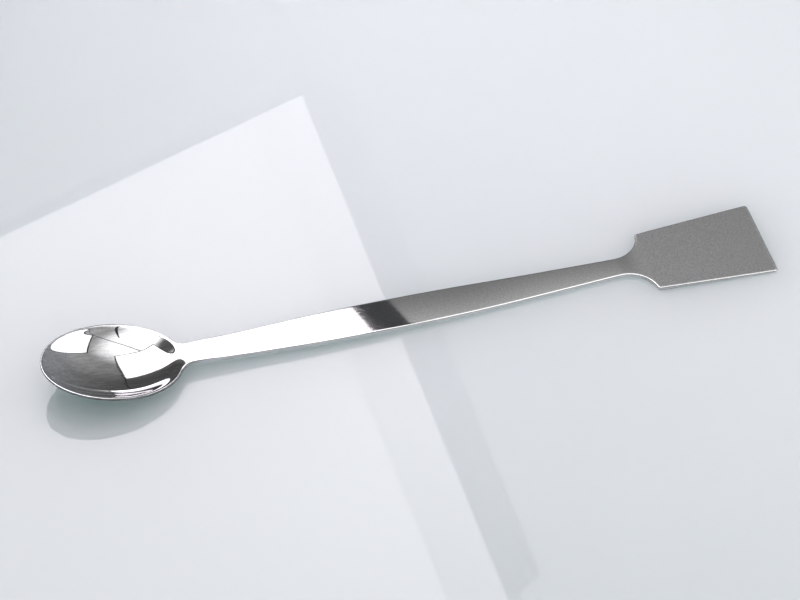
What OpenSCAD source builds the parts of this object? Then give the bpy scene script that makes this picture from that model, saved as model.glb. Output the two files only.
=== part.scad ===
// Lab spatula pressed and ground from one strip of stainless steel:
// an oval spoon bowl, a flat handle that tapers both ways from its middle, and a flat square-ended blade.
// The length runs along X with the bowl at -X. The tool lies on its blade and its bowl on the plane Z = 0.

/* [Overall] */
// Length from the tip of the bowl to the end of the blade
overall_length = 180; // [150:1:220]
// Thickness of the strip along the handle
strip_thickness = 1.2; // [1:0.05:1.6]
// Radius that breaks every long edge of the handle and the blade
edge_radius = 0.25; // [0.1:0.05:0.3]

/* [Bowl] */
// Length of the bowl's oval
bowl_length = 33.9; // [26:0.1:42]
// Width of the bowl across its rim
bowl_width = 24.2; // [18:0.1:30]
// Distance from the tip to the widest place of the oval
bowl_widest_at = 17.6; // [14:0.1:21]
// Depth inside the bowl, measured from its rim
bowl_depth = 3.9; // [3:0.1:7]
// Fullness of the bowl's section: 0 is a parabola, and more gives steeper sides and a flatter floor
bowl_fullness = 0.4; // [0:0.05:0.7]
// Thickness of the floor of the bowl
bowl_wall = 1.2; // [0.8:0.05:1.4]
// Width of the flat land around the rim
rim_land = 0.6; // [0.4:0.05:1]
// Height of the upright edge around the rim
rim_height = 0.75; // [0.7:0.05:1]
// Radius that rounds the upright edge, above and below
rim_radius = 0.3; // [0.15:0.05:0.35]
// Upward bend of the bowl against the handle, in degrees
bowl_tilt = 9.8; // [3:0.1:12]

/* [Necks] */
// Width of the handle's taper where it reaches the bowl's oval
bowl_neck_width = 6; // [4:0.1:7]
// Radius in plan between the bowl's oval and the handle
bowl_neck_radius = 3.7; // [1.5:0.1:5]
// Height by which the neck arches above the line from the handle to the rim
neck_crown = 0.5; // [0:0.1:1]
// Width of the handle's taper where the blade's fillet begins
blade_neck_width = 5.7; // [4:0.1:7]
// Radius in plan between the handle and the blade's shoulder
blade_neck_radius = 7.3; // [3:0.1:8]

/* [Handle] */
// Width of the handle at its middle
handle_width = 9.6; // [8:0.1:12]
// Length of the handle's taper on the bowl's side, from the bowl's oval
bowl_taper_length = 37.3; // [28:0.1:46]
// Length of the handle's taper on the blade's side, up to the blade's fillet
blade_taper_length = 43.8; // [36:0.1:52]
// Half the length over which each taper rounds into the middle
taper_blend = 11; // [4:1:14]
// Length of the handle that lies flat before the blade
flat_run = 36; // [20:1:44]

/* [Blade] */
// Length of the blade from its shoulder to its end
blade_length = 30; // [22:0.5:38]
// Width of the blade at its shoulder
shoulder_width = 18.7; // [15:0.1:24]
// Width of the blade at its end
blade_end_width = 23; // [16:0.1:28]
// Thickness of the blade at its end
blade_end_thickness = 0.65; // [0.6:0.05:1]
// Radius in plan of the blade's shoulder corners
shoulder_radius = 0.6; // [0.5:0.1:1.5]
// Radius in plan of the blade's end corners
corner_radius = 0.8; // [0.5:0.1:3]

/* [Hidden] */

// Steps along the outline of one side. They are closer together where the neck and the handle start
bowl_steps = 36;
neck_steps = 20;
neck_crowding = 1.6;
fillet_steps = 8;
handle_steps = 24;
handle_crowding = 1.4;
corner_steps = 4;
side_steps = 3;

// Steps across it from the middle to the edge, closer together near the edge, and round the edge
cross_steps = 10;
cross_crowding = 1.6;
edge_steps = 3;

// Halvings that place the neck's fillet, and the spacing of the places where the bowl's depth is read
halvings = 40;
reading_step = 0.25;

// Softness of the bowl's lip along the rim, and where the handle rolls into the bowl, above and below
rim_softness = 0.25;
throat_softness = 1.6;
under_softness = 2.4;
// How fast the throat's softness fades away around the oval, and the share of the way out at which it is full
throat_focus = 3.1;
throat_reach = 0.6;

// Half the lengths of the two bends in the side view, and the place and reach of the neck's crown
neck_bend = 10.2;
neck_bend_back = 2.7;
handle_bend = 10;
crown_ahead = 3.7;
crown_reach = 5.4;

// Places along the length, measured from the bowl's tip
half_bowl_width = bowl_width / 2;
bowl_back = bowl_length - bowl_widest_at;
shoulder_x = overall_length - blade_length;
blade_neck_x = shoulder_x - blade_neck_radius;
flat_start = shoulder_x - flat_run;
bowl_taper_end = bowl_length + bowl_taper_length;
blade_taper_start = blade_neck_x - blade_taper_length;

// ---- Small helpers

// A straight ramp that starts at 0, rounded over `soft` on both sides of its start, and its slope
function ramp(u, soft) =
    u <= -soft ? 0 : u >= soft ? u : pow(u + soft, 2) / (4 * soft);
function ramp_slope(u, soft) =
    u <= -soft ? 0 : u >= soft ? 1 : (u + soft) / (2 * soft);

// The larger of d and 0, with the corner between them rounded
function soft_max(d, soft) = (d + sqrt(d * d + soft * soft)) / 2;

// 0 below a, 1 above b and a smooth step between them
function smooth_step(a, b, x) =
    let (t = min(1, max(0, (x - a) / (b - a)))) t * t * (3 - 2 * t);

function mix(a, b, t) = a + (b - a) * t;
function unit(v) = v / norm(v);

// An arc of stations [point, inward normal]. side is 1 where the metal is inside the arc, and -1 outside it.
// A crowding above 1 draws the stations together at its start
function arc(centre, radius, from, to, steps, side, crowding = 1) =
    [for (k = [0 : steps])
        let (a = mix(from, to, pow(k / steps, crowding)), out = [cos(a), sin(a)])
        [centre + radius * out, -side * out]];

// ---- The bowl's oval, two half ellipses that meet at its widest place

// Half the length of the ellipse that the angle a from the tip lies on
function oval_reach(a) = a < 90 ? bowl_widest_at : bowl_back;
function oval_point(a) = [bowl_widest_at - oval_reach(a) * cos(a), half_bowl_width * sin(a)];
function oval_normal(a) = unit([-half_bowl_width * cos(a), oval_reach(a) * sin(a)]);

// ---- The handle's edge, two straight tapers rounded into the middle

bowl_taper = (handle_width - bowl_neck_width) / 2 / bowl_taper_length;
blade_taper = (handle_width - blade_neck_width) / 2 / blade_taper_length;
function handle_half(x) =
    handle_width / 2
    - bowl_taper * ramp(bowl_taper_end - x, taper_blend)
    - blade_taper * ramp(x - blade_taper_start, taper_blend);
function handle_slope(x) =
    bowl_taper * ramp_slope(bowl_taper_end - x, taper_blend)
    - blade_taper * ramp_slope(x - blade_taper_start, taper_blend);

// ---- The fillet between them, found by halving: its centre is one radius from the oval and from the handle

function neck_centre_at(a) = oval_point(a) + bowl_neck_radius * oval_normal(a);
function neck_gap(a) =
    let (c = neck_centre_at(a))
    c[1] - handle_half(c[0]) - bowl_neck_radius * norm([1, handle_slope(c[0])]);
function halve(low, high, tries) =
    let (a = (low + high) / 2)
    tries == 0 ? a
    : neck_gap(a) > 0 ? halve(a, high, tries - 1)
    : halve(low, a, tries - 1);

oval_end = halve(90, 179, halvings);
neck_centre = neck_centre_at(oval_end);
neck_from = atan2(-oval_normal(oval_end)[1], -oval_normal(oval_end)[0]);
neck_to = -90 + atan(handle_slope(neck_centre[0]));
handle_start_x = neck_centre[0] + bowl_neck_radius * cos(neck_to);

// ---- The blade: a fillet up to each shoulder, a flared side and a square end

blade_flare = (blade_end_width - shoulder_width) / 2 / blade_length;
flare_angle = atan(blade_flare);
function blade_half(x) = shoulder_width / 2 + blade_flare * (x - shoulder_x);
function corner_centre(x, radius) = [x, blade_half(x) - radius * norm([1, blade_flare])];

blade_neck_centre = [
    blade_neck_x,
    handle_half(blade_neck_x) + blade_neck_radius * norm([1, blade_taper])
];
blade_from = -90 - atan(blade_taper);
handle_end_x = blade_neck_x + blade_neck_radius * cos(blade_from);

// A large fillet meets the shoulder's corner before it turns square, so the corner slides along the side
// until the two arcs touch
square_shoulder = corner_centre(shoulder_x + shoulder_radius, shoulder_radius);
is_large_fillet = blade_neck_centre[1] > square_shoulder[1];
along = unit([1, blade_flare]);
to_square = square_shoulder - blade_neck_centre;
slide = sqrt(pow(to_square * along, 2) - to_square * to_square + pow(blade_neck_radius + shoulder_radius, 2))
    - to_square * along;
shoulder_centre = is_large_fillet ? square_shoulder + slide * along : square_shoulder;
between = shoulder_centre - blade_neck_centre;
blade_to = is_large_fillet ? atan2(between[1], between[0]) : 0;
end_centre = corner_centre(overall_length - corner_radius, corner_radius);

// ---- Outline of one side from the tip of the bowl to the middle of the blade's end

function bowl_side() =
    [for (k = [0 : bowl_steps - 1])
        let (a = oval_end * k / bowl_steps)
        [oval_point(a), -oval_normal(a)]];

function neck_side() =
    arc(neck_centre, bowl_neck_radius, neck_from, neck_to, neck_steps, -1, neck_crowding);

function handle_side() =
    [for (k = [1 : handle_steps - 1])
        let (x = mix(handle_start_x, handle_end_x, pow(k / handle_steps, handle_crowding)))
        [[x, handle_half(x)], unit([handle_slope(x), -1])]];

function blade_side() =
    let (
        fillet = arc(blade_neck_centre, blade_neck_radius, blade_from, blade_to, fillet_steps, -1),
        shoulder = arc(shoulder_centre, shoulder_radius, 180 + blade_to, 90 + flare_angle, corner_steps, 1),
        corner = arc(end_centre, corner_radius, 90 + flare_angle, 0, corner_steps, 1),
        straight = [for (k = [1 : side_steps - 1]) mix(shoulder[corner_steps], corner[0], k / side_steps)],
        end = [for (k = [1 : side_steps]) [[overall_length, end_centre[1] * (1 - k / side_steps)], [-1, 0]]]
    )
    // A fillet that touches the shoulder's corner shares its last station with it
    concat([for (k = [0 : fillet_steps - (is_large_fillet ? 1 : 0)]) fillet[k]],
        shoulder, straight, corner, end);

// Each station also gets the place on the middle line that its section runs to. On the bowl and handle its
// normal leads there, and on the blade the places are spread evenly
function foot(s) =
    s[0][1] > 0 ? s[0][0] + s[0][1] * s[1][0] / -s[1][1]
    : half_bowl_width * half_bowl_width / bowl_widest_at;
fan_end = overall_length - shoulder_width / 4;
blade_stations = blade_side();
blade_last = len(blade_stations) - 1;
outline = concat(
    [for (s = concat(bowl_side(), neck_side(), handle_side())) [s[0], s[1], foot(s)]],
    [for (k = [0 : blade_last])
        let (s = blade_stations[k])
        [s[0], s[1], mix(handle_end_x, fan_end, k / blade_last)]]
);

// ---- Heights of the top and the underside

// Distance from the oval's centre as a share of the way to its edge, with the edge moved in by inset
function oval_share(p, inset) =
    let (reach = p[0] < bowl_widest_at ? bowl_widest_at : bowl_back)
    norm([(p[0] - bowl_widest_at) / (reach - inset), p[1] / (half_bowl_width - inset)]);
function dish(p, inset, depth, soft) =
    let (share = oval_share(p, inset))
    soft_max(depth * (1 - mix(pow(share, 2), pow(share, 4), bowl_fullness)), soft);

// 1 straight towards the neck, fading to 0 around the oval and towards the middle of the bowl
function throat(p) =
    let (
        d = [(p[0] - bowl_widest_at) / bowl_back, p[1] / half_bowl_width],
        share = norm(d)
    )
    d[0] <= 0 ? 0 : pow(d[0] / share, throat_focus) * smooth_step(0, throat_reach, share);

// The bowl's underside drops this far below the upright rim
under_depth = bowl_depth + bowl_wall - rim_height;
bowl_region_end = bowl_length + neck_bend;

// Thickness of the strip before it is dished: full along the handle, ground thinner along the blade
function strip(x) =
    mix(strip_thickness, blade_end_thickness,
        max(0, x - blade_neck_x) / (overall_length - blade_neck_x));
function past_bowl(x) = smooth_step(bowl_length - neck_bend, bowl_region_end, x);
function rim_or_strip(x) = mix(rim_height, strip(x), past_bowl(x));
function edge_round(x) = mix(rim_radius, edge_radius, past_bowl(x));

function top_drop(p) =
    p[0] > bowl_region_end ? 0
    : dish(p, rim_land, bowl_depth, mix(rim_softness, throat_softness, throat(p)));
function under_drop(p) =
    p[0] > bowl_region_end ? strip(p[0])
    : rim_or_strip(p[0]) + dish(p, 0, under_depth, mix(rim_softness, under_softness, throat(p)));

// The strip's top is bent up along the handle and again at the neck. The handle's slope is the one that
// brings the lowest point of the bowl down to the bench
function neck_lift(x) =
    tan(bowl_tilt) * ramp(bowl_length - neck_bend_back - x, neck_bend)
    + neck_crown * exp(-pow((x - bowl_length - crown_ahead) / crown_reach, 2));
function handle_lift(x) = ramp(flat_start - x, handle_bend);
handle_rise = max([
    for (x = [0 : reading_step : bowl_length])
        (under_drop([x, 0]) - strip(x) - neck_lift(x)) / handle_lift(x)
]);
function top_plane(x) = strip(x) + neck_lift(x) + handle_rise * handle_lift(x);

function top_point(p) = [p[0], p[1], top_plane(p[0]) - top_drop(p)];
function under_point(p) = [p[0], p[1], top_plane(p[0]) - under_drop(p)];

// ---- The skin: closed rings that run across the top, round the edge and back underneath

shares = [for (k = [0 : cross_steps]) 1 - pow(1 - k / cross_steps, cross_crowding)];

// Half a ring, from the middle of the top to the middle of the underside
function half_ring(s) =
    let (
        radius = edge_round(s[0][0]),
        inner = s[0] + radius * s[1],
        middle = [s[2], 0],
        turns = [for (k = [1 : edge_steps]) 90 * (1 - k / edge_steps)],
        top_edge = [
            for (a = turns)
                top_point(s[0] + radius * (1 - cos(a)) * s[1]) - [0, 0, radius * (1 - sin(a))]
        ],
        under_edge = [
            for (k = [edge_steps - 1 : -1 : 0])
                let (a = turns[k])
                under_point(s[0] + radius * (1 - cos(a)) * s[1]) + [0, 0, radius * (1 - sin(a))]
        ]
    )
    concat(
        [for (t = shares) top_point(mix(middle, inner, t))],
        top_edge,
        under_edge,
        [for (k = [cross_steps : -1 : 0]) under_point(mix(middle, inner, shares[k]))]
    );

// The other half mirrors it, without repeating the two middle points
half_turn = 2 * (cross_steps + edge_steps) + 1;
ring_size = 2 * half_turn;
last = len(outline) - 1;
function ring(s) =
    let (half = half_ring(s))
    concat(half, [for (k = [half_turn - 1 : -1 : 1]) [half[k][0], -half[k][1], half[k][2]]]);

// The first and last rings are folded flat, so their two sides share points
function at(i, j) =
    let (k = j % ring_size, is_folded = (i == 0 || i == last) && k > half_turn)
    i * ring_size + (is_folded ? ring_size - k : k);

// Two triangles between neighbouring rings. Their diagonal turns so that none is flat at a folded ring
function patch(i, j) =
    let (
        a = at(i, j),
        b = at(i, j + 1),
        c = at(i + 1, j + 1),
        d = at(i + 1, j),
        is_outward = j % half_turn < half_turn / 2
    )
    is_outward == (i < last - 1) ? [[a, b, c], [a, c, d]] : [[a, b, d], [b, c, d]];
function is_whole(t) = t[0] != t[1] && t[1] != t[2] && t[2] != t[0];

module spatula() {
    points = [for (s = outline) each ring(s)];
    faces = [
        for (i = [0 : last - 1], j = [0 : ring_size - 1], t = patch(i, j))
            if (is_whole(t)) t
    ];
    color("silver")
        translate([-overall_length / 2, 0, 0])
            polyhedron(points = points, faces = faces, convexity = 4);
}

spatula();
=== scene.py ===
import bpy
import bmesh
import math
from mathutils import Matrix, Vector


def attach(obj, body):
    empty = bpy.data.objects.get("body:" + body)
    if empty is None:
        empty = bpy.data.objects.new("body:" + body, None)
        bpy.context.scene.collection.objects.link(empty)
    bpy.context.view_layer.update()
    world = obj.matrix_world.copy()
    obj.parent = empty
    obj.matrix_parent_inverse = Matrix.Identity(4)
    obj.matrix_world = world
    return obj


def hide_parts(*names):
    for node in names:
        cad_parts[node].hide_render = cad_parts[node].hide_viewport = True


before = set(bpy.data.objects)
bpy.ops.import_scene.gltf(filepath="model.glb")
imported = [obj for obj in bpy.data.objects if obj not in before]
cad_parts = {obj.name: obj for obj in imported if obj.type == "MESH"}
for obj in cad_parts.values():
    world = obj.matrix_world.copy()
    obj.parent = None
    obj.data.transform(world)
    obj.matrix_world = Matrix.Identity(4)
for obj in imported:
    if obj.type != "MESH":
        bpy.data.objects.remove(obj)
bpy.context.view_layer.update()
scene = bpy.context.scene
scene.view_settings.view_transform = "Standard"
print("frame loaded")


# camera, aimed down at the tool from the front left
shot = {
    "place": (-0.1488, -0.5073, 0.5928),
    "aim": (-0.0011, 0.0053, 0.0),
    "lens": 148.5,
    "sensor": 36.0,
    "nearest": 0.01,
    "furthest": 20,
}


def makeCamera(shot):
    data = bpy.data.cameras.new("benchCamera")
    data.lens = shot["lens"]
    data.sensor_width = shot["sensor"]
    data.clip_start = shot["nearest"]
    data.clip_end = shot["furthest"]
    camera = bpy.data.objects.new("benchCamera", data)
    camera.location = shot["place"]
    look = Vector(shot["aim"]) - Vector(shot["place"])
    camera.rotation_euler = look.to_track_quat("-Z", "Y").to_euler()
    scene.collection.objects.link(camera)
    scene.camera = camera


makeCamera(shot)
print("camera placed")


# small helpers for the node trees
def newTree(name):
    material = bpy.data.materials.new(name)
    material.use_nodes = True
    material.node_tree.nodes.clear()
    return material, material.node_tree


def addNode(tree, kind, inputs=None, **settings):
    node = tree.nodes.new(kind)
    for key, value in settings.items():
        setattr(node, key, value)
    for key, value in (inputs or {}).items():
        if isinstance(value, bpy.types.NodeSocket):
            tree.links.new(value, node.inputs[key])
        else:
            node.inputs[key].default_value = value
    return node


def finishTree(tree, shader, kind="ShaderNodeOutputMaterial"):
    tree.links.new(shader.outputs[0], addNode(tree, kind).inputs["Surface"])


def objectPlace(tree):
    return addNode(tree, "ShaderNodeTexCoord").outputs["Object"]


def maths(tree, operation, first, second=0.0, third=0.0):
    return addNode(tree, "ShaderNodeMath", {0: first, 1: second, 2: third},
                   operation=operation).outputs[0]


def times(tree, first, second):
    return maths(tree, "MULTIPLY", first, second)


def addLayers(tree, total, layers):
    for pattern, share in layers:
        total = maths(tree, "MULTIPLY_ADD", pattern, share, total)
    return total


def fade(tree, value, start, end, low=0.0, high=1.0):
    return addNode(tree, "ShaderNodeMapRange", {
        "Value": value, "From Min": start, "From Max": end,
        "To Min": low, "To Max": high}, interpolation_type="SMOOTHSTEP").outputs["Result"]


def noise(tree, place, scale=1.0, detail=2.0):
    return addNode(tree, "ShaderNodeTexNoise", {
        "Vector": place, "Scale": scale, "Detail": detail}).outputs["Fac"]


def centred(tree, pattern):
    return maths(tree, "SUBTRACT", pattern, 0.5)


def stretched(tree, place, scale):
    return addNode(tree, "ShaderNodeMapping", {
        "Vector": place, "Scale": scale}).outputs["Vector"]


def dot(tree, first, second):
    return addNode(tree, "ShaderNodeVectorMath", {0: first, 1: second},
                   operation="DOT_PRODUCT").outputs["Value"]


def mixed(tree, factor, first, second, kind):
    return addNode(tree, "ShaderNodeMix", {
        "Factor": factor, "A": first, "B": second}, data_type=kind).outputs["Result"]


# polished steel, with a satin blade; places are metres along the tool
steel = {
    "colour": (0.72, 0.72, 0.73, 1),
    "paintedBlueReflection": (0.67, 0.70, 0.75, 1),  # painted reflection: bluer at the bowl's tip
    "blueReflectionZone": (-0.078, -0.090),           # where the painted blue starts and where it is full
    "bowl": (-0.050, -0.060),
    "handle": (-0.030, -0.018),         # and on through the blade
    "blade": (0.052, 0.060),
    "polish": 0.03,                     # roughness of the bowl and handle
    "satin": 0.25,                      # roughness of the blade
    "streakRough": 0.04,

    "crownRadius": 0.25,                # the handle's slight roundness across
    "handleRise": 0.00060,              # and its slight slope along
    "streaks": (120, 3600, 3600),       # polishing marks along the tool, per metre
    "streakDetail": 2.0,
    "streakDepth": 0.0000003,
    "scratches": (260, 5200, 5200),     # finer marks at a slant, both ways
    "scratchTurn": 32,
    "scratchEdge": (0.62, 0.74),        # only the noise's peaks are scratches
    "scratchDepth": 0.0000003,
    "grain": 3000,                      # the blade's satin grain
    "grainDetail": 3.0,
    "grainDepth": 0.0000010,
    "grainTone": 0.4,
    "waves": 110,
    "waveDepth": 0.0000030,
    "softEdge": 0.0004,                 # the edges catch light this far in
    "softSamples": 8,

    "wearAndHighlightReach": 0.0011,              # lighter along the edges: partly rubbed wear, partly painted highlight
    "wearAndHighlightEdge": (0.999, 0.85),
    "wearAndHighlightSamples": 6,
    "wearAndHighlightTone": 0.35,
    "wearAndHighlightBladeTone": 0.70,
    "outerShadeSlope": (0.70, 0.25),          # how steep the bowl's outside is where it gets painted shade
    "outerPaintedShade": -0.68,
    # the blade darker: partly its satin finish, partly painted shade
    "bladeSatinAndShade": -0.30,
    "brushed": (90, 1500, 1500),        # broader streaks in the bowl
    "brushedDetail": 3.0,
    "brushedTone": 0.8,
    "speckle": 2600,
    "speckleDetail": 3.0,
    "speckleTone": 0.40,
}


def slantedMarks(tree, place, steel, turn):
    turned = addNode(tree, "ShaderNodeVectorRotate", {
        "Vector": place, "Angle": math.radians(turn)}, rotation_type="Z_AXIS")
    marks = noise(tree, stretched(tree, turned.outputs["Vector"], steel["scratches"]),
                  detail=1.0)
    return fade(tree, marks, *steel["scratchEdge"])


# heights in metres, for the bump
def steelHeight(tree, place, axes, zones, streaks, grain, steel):
    crown = times(tree, times(tree, axes["Y"], axes["Y"]), -0.5 / steel["crownRadius"])
    crown = times(tree, times(tree, crown, zones["handle"]), zones["notBlade"])
    rise = addNode(tree, "ShaderNodeMapRange", {
        "Value": axes["X"], "From Min": steel["handle"][0], "From Max": steel["blade"][1],
        "To Max": steel["handleRise"]}).outputs["Result"]
    marks = maths(tree, "ADD", slantedMarks(tree, place, steel, steel["scratchTurn"]),
                  slantedMarks(tree, place, steel, -steel["scratchTurn"]))
    waves = noise(tree, place, steel["waves"], 0.0)
    return addLayers(tree, maths(tree, "ADD", crown, rise), (
        (streaks, steel["streakDepth"]),
        (marks, times(tree, zones["handle"], steel["scratchDepth"])),
        (grain, times(tree, zones["blade"], steel["grainDepth"])),
        (waves, steel["waveDepth"])))


# how much lighter or darker each place is
def steelTone(tree, place, zones, grain, steel):
    normal = addNode(tree, "ShaderNodeNewGeometry").outputs["Normal"]
    # lighter near the edges: partly rubbed wear, partly painted highlight
    edgeBevelNormal = addNode(tree, "ShaderNodeBevel", {"Radius": steel["wearAndHighlightReach"]},
                   samples=steel["wearAndHighlightSamples"]).outputs["Normal"]
    wearAndHighlight = fade(tree, dot(tree, edgeBevelNormal, normal), *steel["wearAndHighlightEdge"])
    wearAndHighlight = times(tree, wearAndHighlight, zones["handle"])
    wearAndHighlightTone = fade(tree, zones["blade"], 0.0, 1.0,
                      steel["wearAndHighlightTone"], steel["wearAndHighlightBladeTone"])
    # painted shade: the bowl's steep outside is darkened, as if it mirrored shade
    upright = addNode(tree, "ShaderNodeSeparateXYZ", {0: normal}).outputs["Z"]
    outsideShade = times(tree, fade(tree, upright, *steel["outerShadeSlope"]), zones["bowl"])
    brushed = noise(tree, stretched(tree, place, steel["brushed"]),
                    detail=steel["brushedDetail"])
    brushed = times(tree, centred(tree, brushed), zones["notHandle"])
    speckle = noise(tree, place, steel["speckle"], steel["speckleDetail"])
    return addLayers(tree, 1.0, (
        # the blade darker: partly satin, partly painted shade
        (zones["blade"], steel["bladeSatinAndShade"]),
        (brushed, steel["brushedTone"]),
        (times(tree, centred(tree, grain), zones["blade"]), steel["grainTone"]),
        (centred(tree, speckle), steel["speckleTone"]),
        (wearAndHighlight, wearAndHighlightTone),
        (outsideShade, steel["outerPaintedShade"])))


def makeSteel(steel):
    material, tree = newTree("polishedSteel")
    place = objectPlace(tree)
    axes = addNode(tree, "ShaderNodeSeparateXYZ", {0: place}).outputs
    zones = {zone: fade(tree, axes["X"], *steel[zone])
             for zone in ("blueReflectionZone", "bowl", "handle", "blade")}
    zones["notHandle"] = maths(tree, "SUBTRACT", 1.0, zones["handle"])
    zones["notBlade"] = maths(tree, "SUBTRACT", 1.0, zones["blade"])
    streaks = noise(tree, stretched(tree, place, steel["streaks"]),
                    detail=steel["streakDetail"])
    grain = noise(tree, place, steel["grain"], steel["grainDetail"])

    softEdge = addNode(tree, "ShaderNodeBevel", {
        "Radius": times(tree, zones["handle"], steel["softEdge"])},
        samples=steel["softSamples"]).outputs["Normal"]
    bump = addNode(tree, "ShaderNodeBump", {
        "Strength": 1.0, "Distance": 1.0, "Normal": softEdge,
        "Height": steelHeight(tree, place, axes, zones, streaks, grain, steel)})
    # painted reflection: the steel turns bluer towards the bowl's tip
    withBlueReflection = mixed(tree, zones["blueReflectionZone"], steel["colour"], steel["paintedBlueReflection"], "RGBA")
    colour = addNode(tree, "ShaderNodeVectorMath", {
        0: withBlueReflection, "Scale": steelTone(tree, place, zones, grain, steel)}, operation="SCALE")
    rough = addNode(tree, "ShaderNodeMapRange", {
        "Value": zones["blade"], "To Min": steel["polish"], "To Max": steel["satin"]})
    rough = addLayers(tree, rough.outputs["Result"], (
        (centred(tree, streaks), steel["streakRough"]),))
    finishTree(tree, addNode(tree, "ShaderNodeBsdfPrincipled", {
        "Base Color": colour.outputs[0], "Metallic": 1.0, "Roughness": rough,
        "Normal": bump.outputs["Normal"]}))
    return material


# the tool itself: a copy of the frame's own mesh, made into quads and smoothed
tool = {
    "mergeGap": 4e-5,       # metres
    "foldLimit": 60,        # degrees, for triangles that join
    "shapeLimit": 120,
    "ringLead": 2.0,        # how much the quads follow each other
    "smoothing": 2,
}


def makeTool(node, tool, material):
    bm = bmesh.new()
    bm.from_mesh(node.data)
    bmesh.ops.remove_doubles(bm, verts=bm.verts, dist=tool["mergeGap"])
    bmesh.ops.join_triangles(bm, faces=bm.faces[:],
                             angle_face_threshold=math.radians(tool["foldLimit"]),
                             angle_shape_threshold=math.radians(tool["shapeLimit"]),
                             topology_influence=tool["ringLead"])
    pinched = [vert for vert in bm.verts if len(vert.link_edges) == 2]
    bmesh.ops.dissolve_verts(bm, verts=pinched)
    for face in bm.faces:
        face.smooth = True
        face.material_index = 0
    for edge in bm.edges:
        edge.smooth = True
    mesh = bpy.data.meshes.new("spatulaSkin")
    bm.to_mesh(mesh)
    bm.free()
    if "custom_normal" in mesh.attributes:
        mesh.attributes.remove(mesh.attributes["custom_normal"])
    mesh.materials.append(material)
    piece = bpy.data.objects.new("spatulaSkin", mesh)
    scene.collection.objects.link(piece)
    smoother = piece.modifiers.new("smoothSkin", "SUBSURF")
    smoother.levels = tool["smoothing"]
    smoother.render_levels = tool["smoothing"]
    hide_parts("spatula")
    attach(piece, "root")


makeTool(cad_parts["spatula"], tool, makeSteel(steel))
print("tool made")


# pale glossy bench, with painted light: its colour is a little lighter towards its far
# right
bench = {
    "side": 8.0,
    "drop": 0.0001,         # just clear of the tool's underside
    "nearLeft": (0.570, 0.620, 0.652, 1),
    "farRight": (0.870, 0.920, 0.962, 1),
    "paintedLightWay": (0.918, 0.396, 0),
    "lighter": (-0.11, 0.17),           # metres that way
    "mottle": 9.0,
    "mottleShift": 0.06,
    "roughness": 0.5,
    "gloss": 1.0,
    "glossRoughness": 0.02,
    "glossIor": 1.70,
    "scatter": 0.9,         # light spreads inside it, so shadows stay pale
    "scatterReach": (0.75, 1.0, 0.92),
    "scatterScale": 0.060,
}


def makeGlass(bench):
    material, tree = newTree("paleGlass")
    place = objectPlace(tree)
    # painted light: the bench's colour grows lighter towards the far right
    along = addLayers(tree, dot(tree, place, bench["paintedLightWay"]), (
        (noise(tree, place, bench["mottle"]), bench["mottleShift"]),))
    colour = mixed(tree, fade(tree, along, *bench["lighter"]),
                   bench["nearLeft"], bench["farRight"], "RGBA")
    finishTree(tree, addNode(tree, "ShaderNodeBsdfPrincipled", {
        "Base Color": colour, "Roughness": bench["roughness"],
        "Subsurface Weight": bench["scatter"], "Subsurface Radius": bench["scatterReach"],
        "Subsurface Scale": bench["scatterScale"],
        "Coat Weight": bench["gloss"], "Coat Roughness": bench["glossRoughness"],
        "Coat IOR": bench["glossIor"]}, subsurface_method="BURLEY"))
    return material


def makeBench(bench):
    bm = bmesh.new()
    bmesh.ops.create_grid(bm, x_segments=1, y_segments=1, size=bench["side"] / 2)
    mesh = bpy.data.meshes.new("benchTop")
    bm.to_mesh(mesh)
    bm.free()
    mesh.materials.append(makeGlass(bench))
    top = bpy.data.objects.new("benchTop", mesh)
    top.location = (0, 0, -bench["drop"])
    scene.collection.objects.link(top)


makeBench(bench)
print("bench made")


# two soft lights, each in a thin dark frame
keyLight = {
    "centre": (-0.0402, 0.1412, 0.2306),
    "across": (0.796, 0.529, 0.293),
    "down": (-0.194, 0.682, -0.705),        # its lower edge is the far one
    "width": 0.255,
    "length": 0.199,
    "radiance": 1.9,
    "colour": (1.0, 0.93, 0.97),
    "frame": 0.004,
    "flapWidth": 0.049,     # a dark side behind its right edge
    "flapBack": 0.028,
}
sideLight = {
    "centre": (0.699, -0.093, 0.624),
    "aim": (-0.080, 0.005, 0.005),
    "roll": 3.2,
    "width": 0.57,
    "length": 0.50,
    "radiance": 1.5,
    "colour": (1.0, 1.0, 1.0),
    "frame": 0.016,
}
darkKit = {
    "colour": (0.07, 0.07, 0.072, 1),
    "roughness": 0.6,
    "mottle": 90.0,
    "mottleRough": 0.2,
    "thickness": 0.003,
    "sides": 12,
}


def makeDark(darkKit):
    material, tree = newTree("darkKit")
    rough = addLayers(tree, darkKit["roughness"], (
        (noise(tree, objectPlace(tree), darkKit["mottle"]), darkKit["mottleRough"]),))
    finishTree(tree, addNode(tree, "ShaderNodeBsdfPrincipled", {
        "Base Color": darkKit["colour"], "Roughness": rough}))
    return material


darkFinish = makeDark(darkKit)


def stageMesh(name, bm, turn):
    mesh = bpy.data.meshes.new(name)
    bm.to_mesh(mesh)
    bm.free()
    mesh.materials.append(darkFinish)
    prop = bpy.data.objects.new(name, mesh)
    prop.matrix_world = turn
    prop.visible_camera = False
    scene.collection.objects.link(prop)


def makeSheet(width, length):
    bm = bmesh.new()
    bmesh.ops.create_grid(bm, x_segments=1, y_segments=1, size=0.5)
    bmesh.ops.scale(bm, verts=bm.verts, vec=(width, length, 1))
    return bm


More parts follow.
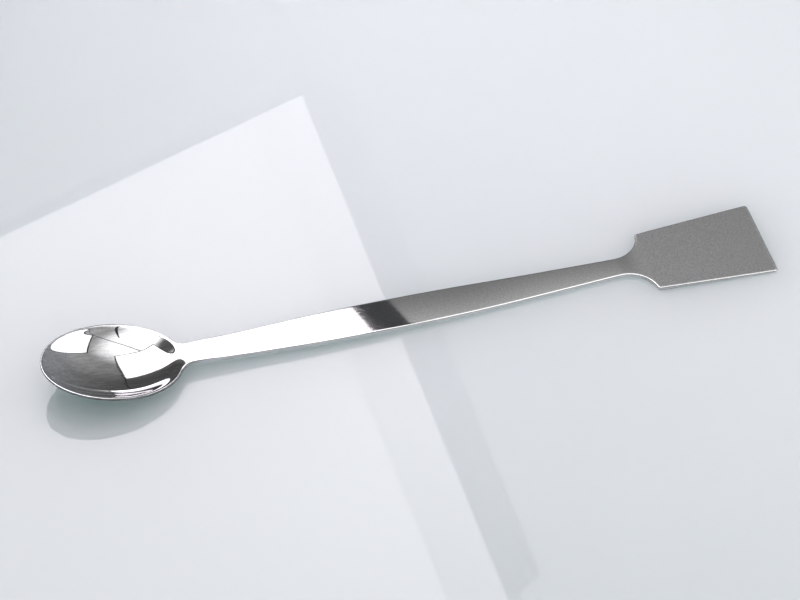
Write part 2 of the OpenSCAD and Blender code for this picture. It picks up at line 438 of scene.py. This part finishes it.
def makeFrame(name, light, turn):
    bm = makeSheet(light["width"] + 2 * light["frame"],
                   light["length"] + 2 * light["frame"])
    inside = bm.faces[:]
    bmesh.ops.inset_region(bm, faces=inside, thickness=light["frame"],
                           use_boundary=True, use_even_offset=True)
    bmesh.ops.delete(bm, geom=inside, context="FACES")
    bmesh.ops.solidify(bm, geom=bm.faces[:], thickness=darkKit["thickness"])
    stageMesh(name, bm, turn)


def placeLight(name, light, across, up):
    data = bpy.data.lights.new(name, "AREA")
    data.shape = "RECTANGLE"
    data.size = light["width"]
    data.size_y = light["length"]
    data.color = light["colour"]
    data.energy = light["radiance"] * math.pi * light["width"] * light["length"]
    lamp = bpy.data.objects.new(name, data)
    across = Vector(across).normalized()
    up = Vector(up)
    up = (up - across * up.dot(across)).normalized()
    turn = Matrix((across, up, across.cross(up))).transposed().to_4x4()
    turn = Matrix.Translation(light["centre"]) @ turn
    lamp.matrix_world = turn
    lamp.visible_camera = False
    scene.collection.objects.link(lamp)
    makeFrame(name + "Frame", light, turn)
    return turn


def makeKeyLight(keyLight):
    turn = placeLight("keyLight", keyLight, keyLight["across"], keyLight["down"])
    bm = makeSheet(keyLight["flapWidth"], keyLight["length"])
    bmesh.ops.translate(bm, verts=bm.verts, vec=(
        (keyLight["width"] + keyLight["flapWidth"]) / 2, 0, keyLight["flapBack"]))
    stageMesh("keyFlap", bm, turn)


def makeSideLight(sideLight):
    away = (Vector(sideLight["centre"]) - Vector(sideLight["aim"])).normalized()
    across = Vector((0, 0, 1)).cross(away).normalized()
    across.rotate(Matrix.Rotation(math.radians(sideLight["roll"]), 3, away))
    placeLight("sideLight", sideLight, across, away.cross(across))


makeKeyLight(keyLight)
makeSideLight(sideLight)

# the key light's leg and arm, and a light stand on the near side:
# from, to, and the radius at each
rods = {
    "keyLeg": ((-0.005, 0.325, 0.0), (0.044, 0.281, 0.195), 0.002, 0.002),
    "keyArm": ((-0.047, 0.062, 0.300), (0.62, -0.51, 0.84), 0.004, 0.004),
    "standTop": ((0.174, -0.245, 0.83), (0.156, -0.525, 0.69), 0.006, 0.025),
    "standFoot": ((0.156, -0.525, 0.69), (0.15, -0.62, 0.64), 0.025, 0.025),
}


def makeRod(name, start, end, startRadius, endRadius):
    start, end = Vector(start), Vector(end)
    bm = bmesh.new()
    bmesh.ops.create_cone(bm, cap_ends=True, segments=darkKit["sides"], radius1=startRadius,
                          radius2=endRadius, depth=(end - start).length)
    facing = (end - start).to_track_quat("Z", "Y").to_matrix().to_4x4()
    stageMesh(name, bm, Matrix.Translation((start + end) / 2) @ facing)


for name, rod in rods.items():
    makeRod(name, *rod)
print("lights made")

# a dim room with a pale ceiling, which the steel mirrors
room = {
    "base": 0.085,
    "right": (0.20, 0.95, 0.0, 0.24),       # from, to, and the light added there
    "near": (0.0, -0.6, 0.0, 0.15),
    "upper": (0.45, 0.72, 0.0, 0.14),
    "ceiling": 1.75,
    "ceilingTilt": (-0.10, 0.06, 1.0),      # it reaches lower on the far left
    "ceilingEdge": (0.72, 0.92),
    "lobe": (-0.463, 0.187, 0.866),         # a dark board high on the left
    "lobeEdge": (0.940, 0.990),
    "lobeCut": (0.857, 0.497, 0.136),       # and its straight side
    "lobeCutEdge": (0.006, -0.012),
    "lobeLevel": 0.12,
}


def makeRoom(room):
    world = bpy.data.worlds.new("studioRoom")
    scene.world = world
    world.use_nodes = True
    tree = world.node_tree
    tree.nodes.clear()
    away = addNode(tree, "ShaderNodeTexCoord").outputs["Generated"]
    axes = addNode(tree, "ShaderNodeSeparateXYZ", {0: away}).outputs
    level = addLayers(tree, room["base"], (
        (fade(tree, axes["X"], *room["right"]), 1.0),
        (fade(tree, axes["Y"], *room["near"]), 1.0),
        (fade(tree, axes["Z"], *room["upper"]), 1.0)))
    high = dot(tree, away, room["ceilingTilt"])
    level = mixed(tree, fade(tree, high, *room["ceilingEdge"]),
                  level, room["ceiling"], "FLOAT")
    lobe = times(tree, fade(tree, dot(tree, away, room["lobe"]), *room["lobeEdge"]),
                 fade(tree, dot(tree, away, room["lobeCut"]), *room["lobeCutEdge"]))
    level = mixed(tree, lobe, level, room["lobeLevel"], "FLOAT")
    back = addNode(tree, "ShaderNodeBackground", {"Color": level})
    finishTree(tree, back, "ShaderNodeOutputWorld")


makeRoom(room)
print("room made")

bpy.context.view_layer.update()
